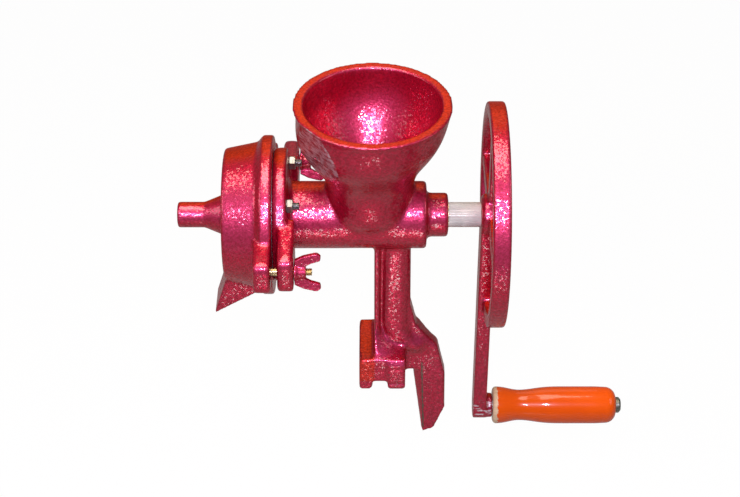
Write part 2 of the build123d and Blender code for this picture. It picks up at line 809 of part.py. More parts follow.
def wooden_handle():
    x0 = handle_left_x
    x1 = handle_right_x
    end_r = handle_belly - handle_end_taper
    first = x0 + handle_profile[0][0]
    left = Polyline((x0, 0), (x0, handle_flare - 2.4))
    lip = ThreePointArc((x0, handle_flare - 2.4), (x0 + 1.0, handle_flare - 0.8),
                        (first, handle_flare))
    along = [(x0 + at, radius) for at, radius in handle_profile]
    side = Spline(*along, (x1 - handle_end_round, end_r), tangents=[(1, 0), (1, -0.06)])
    nose = ThreePointArc(
        (x1 - handle_end_round, end_r),
        (x1 - handle_end_round * 0.28, end_r - handle_end_round * 0.38),
        (x1, end_r - handle_end_round),
    )
    back = Polyline((x1, end_r - handle_end_round), (x1, 0), (x0, 0))
    profile = make_face(Curve() + [left, lip, side, nose, back])
    shape = revolve(profile, axis=Axis.X)
    shape -= rod(x0 - 1, x1 + 1, spindle_radius + running)
    return Pos(0, 0, -crank_throw) * shape


os.makedirs("parts", exist_ok=True)
save("grinder_body", grinder_body())
save("rear_bush", rear_bush())
save("front_cover", front_cover())
save("fixed_plate", fixed_plate())
save("plate_bolts", plate_bolts())
save("plate_nuts", plate_nuts())
save("drive_shaft", drive_shaft())
save("feed_worm", feed_worm())
save("worm_pin", worm_pin())
save("thrust_washer", thrust_washer())
save("rotating_plate", rotating_plate())
save("plate_drive_pin", plate_drive_pin())
save("thrust_ball", thrust_ball())
save("adjusting_screw", adjusting_screw())
for place, way in stud_sides():
    save("cover_stud_" + place, cover_stud(way))
    save("wing_nut_" + place, wing_nut(way))
save("crank_wheel", crank_wheel())
save("wheel_washer", wheel_washer())
save("wheel_nut", wheel_nut())
save("handle_spindle", handle_spindle())
save("handle_end_nut", handle_end_nut())
save("wooden_handle", wooden_handle())
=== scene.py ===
import json
import math
import bpy
import bmesh
from mathutils import Matrix, Vector

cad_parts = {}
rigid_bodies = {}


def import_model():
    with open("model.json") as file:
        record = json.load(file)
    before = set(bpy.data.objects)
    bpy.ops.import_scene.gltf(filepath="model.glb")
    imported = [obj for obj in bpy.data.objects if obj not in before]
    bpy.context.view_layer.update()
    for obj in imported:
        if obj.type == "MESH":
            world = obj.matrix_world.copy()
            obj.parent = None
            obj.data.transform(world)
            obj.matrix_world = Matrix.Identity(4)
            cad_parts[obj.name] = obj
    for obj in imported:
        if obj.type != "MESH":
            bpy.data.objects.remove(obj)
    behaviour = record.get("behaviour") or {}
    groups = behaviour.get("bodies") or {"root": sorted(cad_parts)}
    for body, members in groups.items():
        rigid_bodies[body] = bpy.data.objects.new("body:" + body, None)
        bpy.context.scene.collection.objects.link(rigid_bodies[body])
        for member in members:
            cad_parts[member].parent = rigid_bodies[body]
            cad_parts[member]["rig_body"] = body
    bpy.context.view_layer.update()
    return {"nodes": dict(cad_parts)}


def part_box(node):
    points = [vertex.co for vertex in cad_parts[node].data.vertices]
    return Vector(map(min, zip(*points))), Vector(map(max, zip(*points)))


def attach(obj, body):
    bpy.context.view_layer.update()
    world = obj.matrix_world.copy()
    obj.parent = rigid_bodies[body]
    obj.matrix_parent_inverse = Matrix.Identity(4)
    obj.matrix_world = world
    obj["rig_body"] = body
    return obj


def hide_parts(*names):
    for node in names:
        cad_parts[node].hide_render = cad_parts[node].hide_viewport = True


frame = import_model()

nodes = frame["nodes"]

# ---------------------------------------------------------------- places, metres
shaft_x = -0.02215                  # the hopper neck, along the shaft
shaft_z = 0.1605                    # the crank shaft's axis
throw = 0.2035                      # from the shaft down to the handle
crank_x = 0.08                      # where the crank begins, from the neck
stud_y = 0.075                      # cover studs from the shaft, front and rear
stud_thread = 0.0175                # threaded length of a stud
bolt_y = 0.042 * math.sqrt(0.5)     # plate bolts from the shaft, along Y and Z
nut_turn = math.radians(30)
claw_line = ((0.0438, -0.150), (0.0462, -0.226))    # x and z from the shaft, top and tip
flat_way = (-0.763, -0.595, -0.251)                 # out of the flat ground on the bowl
floor_z = -0.42


# ---------------------------------------------------------------- node helpers
def new_group(name, inputs, outputs):
    """Empty shader group; inputs and outputs are (name, socket type, start value)."""
    tree = bpy.data.node_groups.new(name, "ShaderNodeTree")
    for label, kind, start in inputs:
        socket = tree.interface.new_socket(label, in_out="INPUT", socket_type=kind)
        if start is not None:
            socket.default_value = start
    for label, kind in outputs:
        tree.interface.new_socket(label, in_out="OUTPUT", socket_type=kind)
    return tree, tree.nodes.new("NodeGroupInput"), tree.nodes.new("NodeGroupOutput")


def math_node(tree, operation, a, b=None):
    node = tree.nodes.new("ShaderNodeMath")
    node.operation = operation
    for i, value in enumerate((a, b)):
        if value is None:
            continue
        if isinstance(value, (int, float)):
            node.inputs[i].default_value = value
        else:
            tree.links.new(value, node.inputs[i])
    return node.outputs[0]


def ramp_value(tree, value, low, high, to_low=0.0, to_high=1.0):
    """Smooth step of a value between low and high."""
    node = tree.nodes.new("ShaderNodeMapRange")
    node.interpolation_type = "SMOOTHSTEP"
    node.inputs["From Min"].default_value = low
    node.inputs["From Max"].default_value = high
    node.inputs["To Min"].default_value = to_low
    node.inputs["To Max"].default_value = to_high
    tree.links.new(value, node.inputs["Value"])
    return node.outputs["Result"]


def mix_colour(tree, factor, a, b, blend="MIX"):
    node = tree.nodes.new("ShaderNodeMix")
    node.data_type = "RGBA"
    node.blend_type = blend
    for label, value in (("Factor", factor), ("A", a), ("B", b)):
        socket = [s for s in node.inputs if s.name == label and s.enabled][0]
        if isinstance(value, (int, float)):
            socket.default_value = value
        elif isinstance(value, tuple):
            socket.default_value = (*value, 1.0)
        else:
            tree.links.new(value, socket)
    return [s for s in node.outputs if s.enabled][0]


def object_coordinates(tree):
    return tree.nodes.new("ShaderNodeTexCoord").outputs["Object"]


def noise(tree, place, scale, detail=2.0, rough=0.5):
    node = tree.nodes.new("ShaderNodeTexNoise")
    node.inputs["Scale"].default_value = scale
    node.inputs["Detail"].default_value = detail
    node.inputs["Roughness"].default_value = rough
    tree.links.new(place, node.inputs["Vector"])
    return node.outputs["Fac"]


def xyz_of(tree, place):
    node = tree.nodes.new("ShaderNodeSeparateXYZ")
    tree.links.new(place, node.inputs[0])
    return [node.outputs[axis] for axis in "XYZ"]


def vector_node(tree, operation, a, b=None):
    """Vector maths of a socket with a plain vector or another socket."""
    node = tree.nodes.new("ShaderNodeVectorMath")
    node.operation = operation
    tree.links.new(a, node.inputs[0])
    if isinstance(b, tuple):
        node.inputs[1].default_value = b
    elif b is not None:
        tree.links.new(b, node.inputs[1])
    return node


def bumped(tree, height, strength, distance, base=None):
    """The base normal with a height laid over it."""
    node = tree.nodes.new("ShaderNodeBump")
    node.inputs["Distance"].default_value = distance
    if isinstance(strength, float):
        node.inputs["Strength"].default_value = strength
    else:
        tree.links.new(strength, node.inputs["Strength"])
    tree.links.new(height, node.inputs["Height"])
    if base:
        tree.links.new(base, node.inputs["Normal"])
    return node.outputs["Normal"]


def stretched(tree, place, scale):
    node = tree.nodes.new("ShaderNodeMapping")
    node.inputs["Scale"].default_value = scale
    tree.links.new(place, node.inputs["Vector"])
    return node.outputs["Vector"]


# ---------------------------------------------------------------- shared effects
def tilted_normal(tree, base, cell_colour, tilt):
    """The base normal leaned by each cell's own random direction."""
    centred = vector_node(tree, "SUBTRACT", cell_colour, (0.5, 0.5, 0.5))
    leaned = vector_node(tree, "SCALE", centred.outputs[0])
    tree.links.new(tilt, leaned.inputs["Scale"])
    added = vector_node(tree, "ADD", base, leaned.outputs[0])
    return vector_node(tree, "NORMALIZE", added.outputs[0]).outputs[0]


def make_flakes():
    """Dimpled candy paint: the metal coat's normal, the clear coat's normal, whose cells
    glint one by one, and a mottle mask."""
    tree, given, out = new_group(
        "candy_flakes",
        [("Tilt", "NodeSocketFloat", 0.14), ("Glint", "NodeSocketFloat", 0.4),
         ("Dimple", "NodeSocketFloat", 0.3)],
        [("Normal", "NodeSocketVector"), ("Glint", "NodeSocketVector"),
         ("Mottle", "NodeSocketFloat")],
    )
    place = object_coordinates(tree)
    dimples = noise(tree, place, 480.0, 2.0, 0.55)
    cells = tree.nodes.new("ShaderNodeTexVoronoi")
    cells.inputs["Scale"].default_value = 800.0
    tree.links.new(place, cells.inputs["Vector"])
    for label, lean, share in (("Normal", "Tilt", 1.0), ("Glint", "Glint", 0.4)):
        strength = math_node(tree, "MULTIPLY", given.outputs["Dimple"], share)
        dimpled = bumped(tree, dimples, strength, 0.0008)
        leaned = tilted_normal(tree, dimpled, cells.outputs["Color"], given.outputs[lean])
        tree.links.new(leaned, out.inputs[label])
    tree.links.new(ramp_value(tree, dimples, 0.36, 0.64), out.inputs["Mottle"])
    return tree


def from_shaft(tree):
    """Object coordinates counted from the hopper neck's place on the shaft's axis."""
    shaft = (shaft_x, 0.0, shaft_z)
    return vector_node(tree, "SUBTRACT", object_coordinates(tree), shaft).outputs[0]


def along_way(tree, place, way):
    """How far a place lies along a direction."""
    return vector_node(tree, "DOT_PRODUCT", place, way).outputs["Value"]


def all_of(tree, first, *others):
    """Mask where all the masks hold."""
    for other in others:
        first = math_node(tree, "MULTIPLY", first, other)
    return first


def make_ground_flat():
    """Masks of the flat that is ground on the bowl's lower left, of bare metal on it and of a
    dark band along its lower edge, which is painted shade."""
    tree, _, out = new_group(
        "ground_flat", [],
        [("Flat", "NodeSocketFloat"), ("Bare", "NodeSocketFloat"),
         ("Edge", "NodeSocketFloat")],
    )
    place = from_shaft(tree)
    coarse = noise(tree, place, 150.0, 4.0, 0.65)
    facing = tree.nodes.new("ShaderNodeTexCoord").outputs["Normal"]
    outside = ramp_value(tree, along_way(tree, facing, flat_way), 0.3, 0.6)
    ragged = math_node(tree, "MULTIPLY", coarse, 0.0016)
    depth = math_node(tree, "ADD", along_way(tree, place, flat_way), ragged)
    x, _, z = xyz_of(tree, place)
    near = all_of(
        tree,
        outside,
        ramp_value(tree, depth, 0.0306, 0.0311),
        ramp_value(tree, depth, 0.0342, 0.0332),
        ramp_value(tree, z, 0.030, 0.036),
        ramp_value(tree, x, -0.056, -0.053),
    )
    strokes = noise(tree, stretched(tree, place, (60.0, 60.0, 900.0)), 1.0, 3.0, 0.7)
    worn = ramp_value(tree, math_node(tree, "ADD", strokes, coarse), 0.86, 1.16)
    edge = all_of(
        tree,
        outside,
        ramp_value(tree, depth, 0.0280, 0.0292),
        ramp_value(tree, depth, 0.0310, 0.0302),
        ramp_value(tree, z, 0.024, 0.030),
        ramp_value(tree, z, 0.052, 0.046),
        ramp_value(tree, x, -0.010, -0.018),
    )
    tree.links.new(near, out.inputs["Flat"])
    tree.links.new(edge, out.inputs["Edge"])
    tree.links.new(all_of(tree, near, worn), out.inputs["Bare"])
    return tree


def make_claw_wear():
    """Mask of the line that is rubbed bare along the bevel of the claw."""
    tree, _, out = new_group("claw_wear", [], [("Worn", "NodeSocketFloat")])
    place = from_shaft(tree)
    top, tip = claw_line
    length = math.hypot(tip[0] - top[0], tip[1] - top[1])
    across = (-(tip[1] - top[1]) / length, 0.0, (tip[0] - top[0]) / length)
    start = across[0] * top[0] + across[2] * top[1]
    grit = noise(tree, place, 240.0, 4.0, 0.65)
    off = math_node(tree, "SUBTRACT", along_way(tree, place, across), start)
    off = math_node(tree, "ABSOLUTE", off)
    off = math_node(tree, "ADD", off, math_node(tree, "MULTIPLY", grit, 0.0022))
    x, _, z = xyz_of(tree, place)
    mask = all_of(
        tree,
        ramp_value(tree, off, 0.0021, 0.0014),
        ramp_value(tree, z, top[1] + 0.002, top[1] - 0.001),
        ramp_value(tree, z, tip[1], tip[1] + 0.006),
        ramp_value(tree, x, 0.030, 0.034),
    )
    tree.links.new(mask, out.inputs["Worn"])
    return tree


def make_end_scuffs():
    """Mask of chipped paint on the crank arm's end, round the handle's spindle."""
    tree, _, out = new_group("end_scuffs", [], [("Chipped", "NodeSocketFloat")])
    place = from_shaft(tree)
    x, _, z = xyz_of(tree, place)
    flakes = noise(tree, stretched(tree, place, (110.0, 200.0, 330.0)), 1.0, 4.0, 0.7)
    end = ramp_value(tree, z, -throw + 0.018, -throw + 0.004)
    denser = math_node(tree, "MULTIPLY", end, 0.10)
    chips = ramp_value(tree, math_node(tree, "ADD", flakes, denser), 0.64, 0.67)
    crank = ramp_value(tree, x, crank_x, crank_x + 0.005)
    tree.links.new(all_of(tree, chips, end, crank), out.inputs["Chipped"])
    return tree


def make_rail_lines():
    """Low file marks across the face above the right-hand foot rail."""
    tree, _, out = new_group("rail_lines", [], [("Height", "NodeSocketFloat")])
    place = object_coordinates(tree)
    lines = noise(tree, stretched(tree, place, (22.0, 22.0, 620.0)), 1.0, 2.0, 0.6)
    x, _, z = xyz_of(tree, place)
    mask = all_of(
        tree,
        ramp_value(tree, x, -0.0085, -0.0065),
        ramp_value(tree, x, 0.0085, 0.0080),
        ramp_value(tree, z, 0.022, 0.018),
    )
    tree.links.new(all_of(tree, lines, mask), out.inputs["Height"])
    return tree


def make_painted_light_masks():
    """Masks of the faces that look up, which take orange-red as painted warm light from above,
    and of those that look up and outwards, which take magenta as a painted highlight. The pad's
    left block takes the painted orange-red light in front too."""
    tree, given, out = new_group(
        "painted_light_masks", [("Start", "NodeSocketFloat", 0.74)],
        [("Upward", "NodeSocketFloat"), ("Outward", "NodeSocketFloat")],
    )
    facing = tree.nodes.new("ShaderNodeTexCoord").outputs["Normal"]
    place = object_coordinates(tree)
    patch = math_node(tree, "MULTIPLY", noise(tree, place, 40.0, 2.0), 0.10)
    lifted = math_node(tree, "SUBTRACT", along_way(tree, facing, (0.0, 0.5, 0.866)),
                       given.outputs["Start"])
    upward = ramp_value(tree, math_node(tree, "ADD", lifted, patch), 0.0, 0.22)
    x, y, z = xyz_of(tree, place)
    aside = math_node(tree, "ABSOLUTE", y)
    off_lugs = ramp_value(tree, aside, 0.052, 0.046)
    on_bowl = ramp_value(tree, z, 0.22, 0.24)
    upward = all_of(tree, upward, math_node(tree, "MAXIMUM", off_lugs, on_bowl))
    # The pad's left block gets the painted orange-red light on its front as well.
    block = all_of(
        tree,
        ramp_value(tree, x, -0.0176, -0.0190),
        ramp_value(tree, z, 0.036, 0.033),
        ramp_value(tree, z, 0.0075, 0.0095),
        ramp_value(tree, aside, 0.020, 0.024, 0.0, 0.6),
    )
    tree.links.new(math_node(tree, "MAXIMUM", upward, block), out.inputs["Upward"])
    # Faces that look up and outwards: where the magenta painted highlight goes.
    sides = vector_node(tree, "ABSOLUTE", facing)
    slanted = along_way(tree, sides.outputs[0], (0.0, 0.78, 0.0))
    risen = along_way(tree, facing, (0.0, 0.0, 0.626))
    outward = math_node(tree, "ADD", math_node(tree, "ADD", slanted, risen), patch)
    tree.links.new(ramp_value(tree, outward, 0.78, 1.04), out.inputs["Outward"])
    return tree


candy_flakes = make_flakes()
ground_flat = make_ground_flat()
claw_wear = make_claw_wear()
end_scuffs = make_end_scuffs()
rail_lines = make_rail_lines()
painted_light_masks = make_painted_light_masks()


def place_group(tree, group, **values):
    node = tree.nodes.new("ShaderNodeGroup")
    node.node_tree = group
    for label, value in values.items():
        node.inputs[label].default_value = value
    return node


def new_material(name, **values):
    """Material with one Principled BSDF whose plain values are set on its sockets."""
    material = bpy.data.materials.new(name)
    material.use_nodes = True
    shader = material.node_tree.nodes["Principled BSDF"]
    for label, value in values.items():
        shader.inputs[label.replace("_", " ")].default_value = value
    return material, material.node_tree, shader


# ---------------------------------------------------------------- finishes
crimson = (0.50, 0.007, 0.036)
# Magenta for faces that look outwards: a painted highlight.
painted_highlight_pink = (0.55, 0.038, 0.110)
# Orange-red for up-facing faces: painted warm light from above and behind.
painted_warm_light_orange = (0.68, 0.044, 0.004)
dimple_shade = (0.66, 0.60, 0.56)
ground_dull = (0.27, 0.12, 0.12)
ground_bare = (0.62, 0.44, 0.44)
# Dark of the painted shade along the ground flat's lower edge.
painted_shade_dark = (0.05, 0.02, 0.02)
rubbed_iron = (0.13, 0.10, 0.07)
chipped_metal = (0.75, 0.62, 0.62)


def candy_paint(name):
    """Metallic candy coat over a dimpled casting, whose colour carries painted light: a painted
    highlight on faces that look outwards and painted warm light on faces that look up.
    """
    material, tree, shader = new_material(
        name, Metallic=0.68, Coat_Roughness=0.12, Coat_IOR=1.6,
    )
    shader.inputs["Specular Tint"].default_value = (0.85, 0.16, 0.16, 1.0)
    flakes = place_group(tree, candy_flakes, Tilt=0.07, Glint=0.23, Dimple=0.30)
    up = place_group(tree, painted_light_masks, Start=0.74)
    # Faces that look outwards take magenta: a painted highlight.
    tone = mix_colour(tree, up.outputs["Outward"], crimson, painted_highlight_pink)
    # Up-facing faces take orange-red: painted warm light.
    tone = mix_colour(tree, up.outputs["Upward"], tone, painted_warm_light_orange)
    dark = mix_colour(tree, 1.0, tone, dimple_shade, "MULTIPLY")
    tone = mix_colour(tree, flakes.outputs["Mottle"], dark, tone)
    flat = place_group(tree, ground_flat)
    worn = place_group(tree, claw_wear)
    chipped = place_group(tree, end_scuffs)
    dull = math_node(tree, "MULTIPLY", flat.outputs["Flat"], 0.45)
    tone = mix_colour(tree, dull, tone, ground_dull)
    tone = mix_colour(tree, flat.outputs["Bare"], tone, ground_bare)
    # A dark band along the flat's lower edge: painted shade.
    painted_edge_shade = math_node(tree, "MULTIPLY", flat.outputs["Edge"], 0.7)
    tone = mix_colour(tree, painted_edge_shade, tone, painted_shade_dark)
    tone = mix_colour(tree, worn.outputs["Worn"], tone, rubbed_iron)
    tone = mix_colour(tree, chipped.outputs["Chipped"], tone, chipped_metal)
    tree.links.new(tone, shader.inputs["Base Color"])
    tree.links.new(ramp_value(tree, flakes.outputs["Mottle"], 0.0, 1.0, 0.42, 0.34),
                   shader.inputs["Roughness"])
    bare = math_node(tree, "MAXIMUM", flat.outputs["Bare"], worn.outputs["Worn"])
    bare = math_node(tree, "MAXIMUM", bare, chipped.outputs["Chipped"])
    # Up-facing faces, which carry the painted orange-red light, also get little clear coat.
    bare = math_node(tree, "MAXIMUM", bare, up.outputs["Upward"])
    tree.links.new(ramp_value(tree, bare, 0.0, 1.0, 0.65, 0.1), shader.inputs["Coat Weight"])
    lines = place_group(tree, rail_lines)
    for label, target in (("Normal", "Normal"), ("Glint", "Coat Normal")):
        lined = bumped(tree, lines.outputs["Height"], 0.6, 0.0009, flakes.outputs[label])
        tree.links.new(lined, shader.inputs[target])
    return material


def turned_steel(name, colour, rough, ring=2600.0, metal=1.0):
    """Steel with fine lathe rings across the X axis."""
    material, tree, shader = new_material(name, Metallic=metal)
    place = object_coordinates(tree)
    rings = noise(tree, stretched(tree, place, (ring, 60.0, 60.0)), 1.0, 3.0, 0.6)
    stain = noise(tree, place, 70.0, 4.0, 0.6)
    dull = tuple(c * 0.78 for c in colour)
    tone = mix_colour(tree, ramp_value(tree, stain, 0.35, 0.7), dull, colour)
    tree.links.new(tone, shader.inputs["Base Color"])
    tree.links.new(ramp_value(tree, rings, 0.2, 0.8, rough * 0.7, rough * 1.4),
                   shader.inputs["Roughness"])
    tree.links.new(bumped(tree, rings, 0.12, 0.0002), shader.inputs["Normal"])
    return material


def lacquered_wood(name):
    """Orange lacquer that is worn to bare wood at the crank end."""
    material, tree, shader = new_material(
        name, Coat_Weight=0.45, Coat_Roughness=0.05, Specular_IOR_Level=0.15,
    )
    place = object_coordinates(tree)
    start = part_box("wooden_handle")[0].x
    along = math_node(tree, "SUBTRACT", xyz_of(tree, place)[0], start)
    ragged = noise(tree, place, 230.0, 3.0, 0.6)
    edge = math_node(tree, "ADD", along, math_node(tree, "MULTIPLY", ragged, 0.006))
    lacquer = ramp_value(tree, edge, 0.0068, 0.0074)
    grain = noise(tree, stretched(tree, place, (25.0, 420.0, 420.0)), 1.0, 4.0, 0.6)
    bare = mix_colour(tree, grain, (0.42, 0.24, 0.10), (0.78, 0.60, 0.36))
    cloud = noise(tree, place, 35.0, 3.0, 0.5)
    orange = mix_colour(tree, cloud, (0.60, 0.056, 0.0), (0.70, 0.088, 0.0))
    tone = mix_colour(tree, lacquer, bare, orange)
    tree.links.new(tone, shader.inputs["Base Color"])
    tree.links.new(ramp_value(tree, lacquer, 0.0, 1.0, 0.7, 0.24),
                   shader.inputs["Roughness"])
    height = math_node(tree, "ADD", lacquer, math_node(tree, "MULTIPLY", grain, 0.25))
    tree.links.new(bumped(tree, height, 0.5, 0.0006), shader.inputs["Normal"])
    return material


def rough_iron(name, colour):
    """Cast or milled iron, bare and gritty."""
    material, tree, shader = new_material(name, Metallic=0.8)
    place = object_coordinates(tree)
    grit = noise(tree, place, 700.0, 4.0, 0.6)
    tone = mix_colour(tree, grit, tuple(c * 0.6 for c in colour), colour)
    tree.links.new(tone, shader.inputs["Base Color"])
    tree.links.new(ramp_value(tree, grit, 0.2, 0.8, 0.4, 0.65), shader.inputs["Roughness"])
    tree.links.new(bumped(tree, grit, 0.4, 0.0003), shader.inputs["Normal"])
    return material


body_paint = candy_paint("body_candy_paint")
bright_steel = turned_steel("bright_steel", (0.96, 0.95, 0.82), 0.42, metal=0.30)
bolt_steel = turned_steel("bolt_steel", (0.42, 0.41, 0.39), 0.38, 400.0)
nut_steel = turned_steel("nut_steel", (0.34, 0.33, 0.31), 0.42, 400.0)
cap_steel = turned_steel("cap_steel", (0.24, 0.24, 0.19), 0.4, 400.0)
yellow_zinc = turned_steel("yellow_zinc", (0.70, 0.56, 0.28), 0.34, 900.0)
bronze = turned_steel("bush_bronze", (0.62, 0.42, 0.20), 0.32)
plate_iron = rough_iron("plate_iron", (0.34, 0.34, 0.35))
worm_iron = rough_iron("worm_iron", (0.42, 0.41, 0.40))
handle_lacquer = lacquered_wood("handle_lacquer")

finish_of = {
    "grinder_body": body_paint, "front_cover": body_paint, "crank_wheel": body_paint,
    "wing_nut_front": body_paint, "wing_nut_rear": body_paint,
    "wooden_handle": handle_lacquer, "drive_shaft": bright_steel,
    "plate_bolts": bolt_steel, "plate_nuts": nut_steel,
    "worm_pin": bright_steel, "plate_drive_pin": bright_steel, "thrust_ball": bright_steel,
    "handle_spindle": bright_steel, "thrust_washer": nut_steel, "wheel_washer": nut_steel,
    "wheel_nut": nut_steel, "adjusting_screw": yellow_zinc, "handle_end_nut": cap_steel,
    "cover_stud_front": yellow_zinc, "cover_stud_rear": yellow_zinc,
    "rear_bush": bronze, "fixed_plate": plate_iron, "rotating_plate": plate_iron,
    "feed_worm": worm_iron,
}
for node, finish in finish_of.items():
    mesh = nodes[node].data
    mesh.materials.clear()
    mesh.materials.append(finish)


# ---------------------------------------------------------------- castings
def linked(name, data):
    piece = bpy.data.objects.new(name, data)
    bpy.context.scene.collection.objects.link(piece)
    return piece


def apply_modifiers(piece):
    """Put the piece's modifiers into its mesh."""
    view = bpy.context.evaluated_depsgraph_get()
    mesh = bpy.data.meshes.new_from_object(piece.evaluated_get(view))
    piece.modifiers.clear()
    old = piece.data
    piece.data = mesh
    bpy.data.meshes.remove(old)


def lofted(shape, sections):
    """Closed solid through a row of outlines that have as many points each."""
    rings = [[shape.verts.new(p) for p in section] for section in sections]
    faces = []
    for near, far in zip(rings, rings[1:]):
        for i in range(len(near)):
            j = (i + 1) % len(near)
            faces.append(shape.faces.new((near[i], near[j], far[j], far[i])))
    faces.append(shape.faces.new(rings[0]))
    faces.append(shape.faces.new(rings[-1]))
    bmesh.ops.recalc_face_normals(shape, faces=faces)


column_x = 0.0203               # the leg's column, from the shaft's neck
# across the column and back from its face
column_outline = [
    (-0.0100, 0.0120), (-0.0098, 0.0052), (-0.0088, 0.0020), (-0.0066, 0.0004), (-0.0005, 0.0),
    (0.0055, 0.0006), (0.0088, 0.0020), (0.0112, 0.0046), (0.0120, 0.0120),
]
# height, shift towards the claw and reach forward
column_faces = [
    (0.140, 0.0012, 0.0120), (0.060, 0.0, 0.0120), (0.050, 0.0008, 0.0122),
    (0.044, 0.0028, 0.0124), (0.039, 0.0060, 0.0124), (0.0345, 0.0105, 0.0118),
    (0.0305, 0.0160, 0.0104), (0.0275, 0.0200, 0.0085),
]


def leg_root(shape):
    """Broad face of the column, which bends out to the claw at its foot, and the flared
    root that falls from the leg's rib to the pad's front edge."""
    left, right = -0.0186, 0.0074                           # along the shaft
    pad_edge, pad_face, leg_face = 0.0277, 0.0308, 0.0068   # reach, height, reach
    pad_inside = 0.024                                      # height, within the pad
    steps, curve_steps = 9, 6
    for side in (-1, 1):
        sections = []
        for z, shift, front in column_faces:
            sections.append([
                (shaft_x + column_x + shift + across, side * (front - back), z)
                for across, back in column_outline
            ])
        lofted(shape, sections)
        sections = []
        for i in range(steps + 1):
            t = i / steps
            x = left + (right - left) * t
            rise = 0.027 * (1.0 - t) ** 2.1 + 0.0055
            curve = []
            for k in range(curve_steps + 1):
                u = k / curve_steps
                y = pad_edge + (leg_face - pad_edge) * u
                curve.append((x, side * y, pad_face + rise * u ** 1.3))
            sections.append(curve + [(x, 0.0, pad_face), (x, 0.0, pad_inside),
                                     (x, side * pad_edge, pad_inside)])
        lofted(shape, sections)


def soften(piece, name, centre, reach, passes):
    """More smoothing inside a ball, where the real casting has a wide fillet."""
    group = piece.vertex_groups.new(name=name)
    for vert in piece.data.vertices:
        far = (vert.co - Vector(centre)).length / reach
        if far < 1.0:
            group.add([vert.index], min(1.0, 2.5 * (1.0 - far)), "REPLACE")
    smooth = piece.modifiers.new(name, "SMOOTH")
    smooth.factor = 0.5
    smooth.iterations = passes
    smooth.vertex_group = name
    apply_modifiers(piece)
    piece.vertex_groups.clear()


def soft_casting(node, name, grain, passes, finish, root=None, fillets=()):
    """A sand casting with soft edges, made from the node's own solid: grain is the size of
    its facets, and root adds shapes to it first."""
    shape = bmesh.new()
    shape.from_mesh(nodes[node].data)
    bmesh.ops.remove_doubles(shape, verts=shape.verts, dist=1e-5)
    if root:
        root(shape)
    mesh = bpy.data.meshes.new(name)
    shape.to_mesh(mesh)
    shape.free()
    piece = linked(name, mesh)
    remesh = piece.modifiers.new("sand_grain", "REMESH")
    remesh.mode = "VOXEL"
    remesh.voxel_size = grain
    remesh.use_smooth_shade = True
    smooth = piece.modifiers.new("soft_edges", "SMOOTH")
    smooth.factor = 0.5
    smooth.iterations = passes
    apply_modifiers(piece)
    for label, centre, reach, rounds in fillets:
        soften(piece, label, centre, reach, rounds)
    piece.data.materials.clear()
    piece.data.materials.append(finish)
    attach(piece, nodes[node]["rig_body"])
    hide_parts(node)


# name, centre, reach and rounds of the body's widest fillets
body_fillets = [
    ("neck_front", (shaft_x, -0.026, shaft_z - 0.004), 0.034, 66),
    ("neck_rear", (shaft_x, 0.026, shaft_z - 0.004), 0.034, 66),
    ("body_lug_front", (-0.087, -0.076, shaft_z + 0.008), 0.026, 33),
    ("body_lug_rear", (-0.087, 0.076, shaft_z + 0.008), 0.026, 33),
    ("block_front", (-0.026, -0.028, 0.031), 0.012, 22),
    ("block_rear", (-0.026, 0.028, 0.031), 0.012, 22),
    ("leg_head", (-0.004, 0.0, shaft_z - 0.027), 0.022, 22),
    ("leg_foot_front", (-0.004, -0.014, 0.040), 0.022, 10),
    ("leg_foot_rear", (-0.004, 0.014, 0.040), 0.022, 10),
    ("shoulder_front", (0.020, -0.010, 0.029), 0.017, 34),
    ("shoulder_rear", (0.020, 0.010, 0.029), 0.017, 34),
]
soft_casting("grinder_body", "hopper_and_body_casting", 0.0014, 5, body_paint,
             leg_root, body_fillets)
cover_fillets = [
    ("cover_lug_front", (-0.104, -0.080, shaft_z + 0.006), 0.026, 30),
    ("cover_lug_rear", (-0.104, 0.080, shaft_z + 0.006), 0.026, 30),
]
soft_casting("front_cover", "front_cover_casting", 0.0011, 5, body_paint,
             fillets=cover_fillets)
soft_casting("crank_wheel", "crank_wheel_casting", 0.0011, 5, body_paint)
soft_casting("wing_nut_front", "wing_nut_front_casting", 0.0005, 6, body_paint)
soft_casting("wing_nut_rear", "wing_nut_rear_casting", 0.0005, 6, body_paint)


# ---------------------------------------------------------------- threads and nuts
def ring_at(shape, x, radius_at, steps, y, z):
    """One loop of points round the X direction through (y, z)."""
    ring = []
    for i in range(steps):
        angle = 2 * math.pi * i / steps
        r = radius_at(x, angle)
        ring.append(shape.verts.new((x, y + r * math.cos(angle), z + r * math.sin(angle))))
    return ring


def join_rings(shape, near, far):
    for i in range(len(near)):
        j = (i + 1) % len(near)
        shape.faces.new((near[i], near[j], far[j], far[i]))


def thread(shape, x0, x1, radius, pitch, y, z, steps=28):
    """Threaded rod from x0 to x1 with a bevelled end at x1."""
    depth = 0.55 * pitch
    bevel = 0.6 * depth
    rings_per_turn = 6

    def radius_at(x, angle):
        turn = (x / pitch - angle / (2 * math.pi)) % 1.0
        crest = abs(2 * turn - 1)
        start = min(1.0, (x - x0) / (1.5 * pitch))
        r = radius - depth * (1 - crest) * start
        return min(r, radius - bevel - depth * 0.4 + (x1 - x))

    count = int(rings_per_turn * (x1 - x0) / pitch)
    rings = [
        ring_at(shape, x0 + (x1 - x0) * i / count, radius_at, steps, y, z)
        for i in range(count + 1)
    ]
    for near, far in zip(rings, rings[1:]):
        join_rings(shape, near, far)
    shape.faces.new(rings[0])
    shape.faces.new(rings[-1])


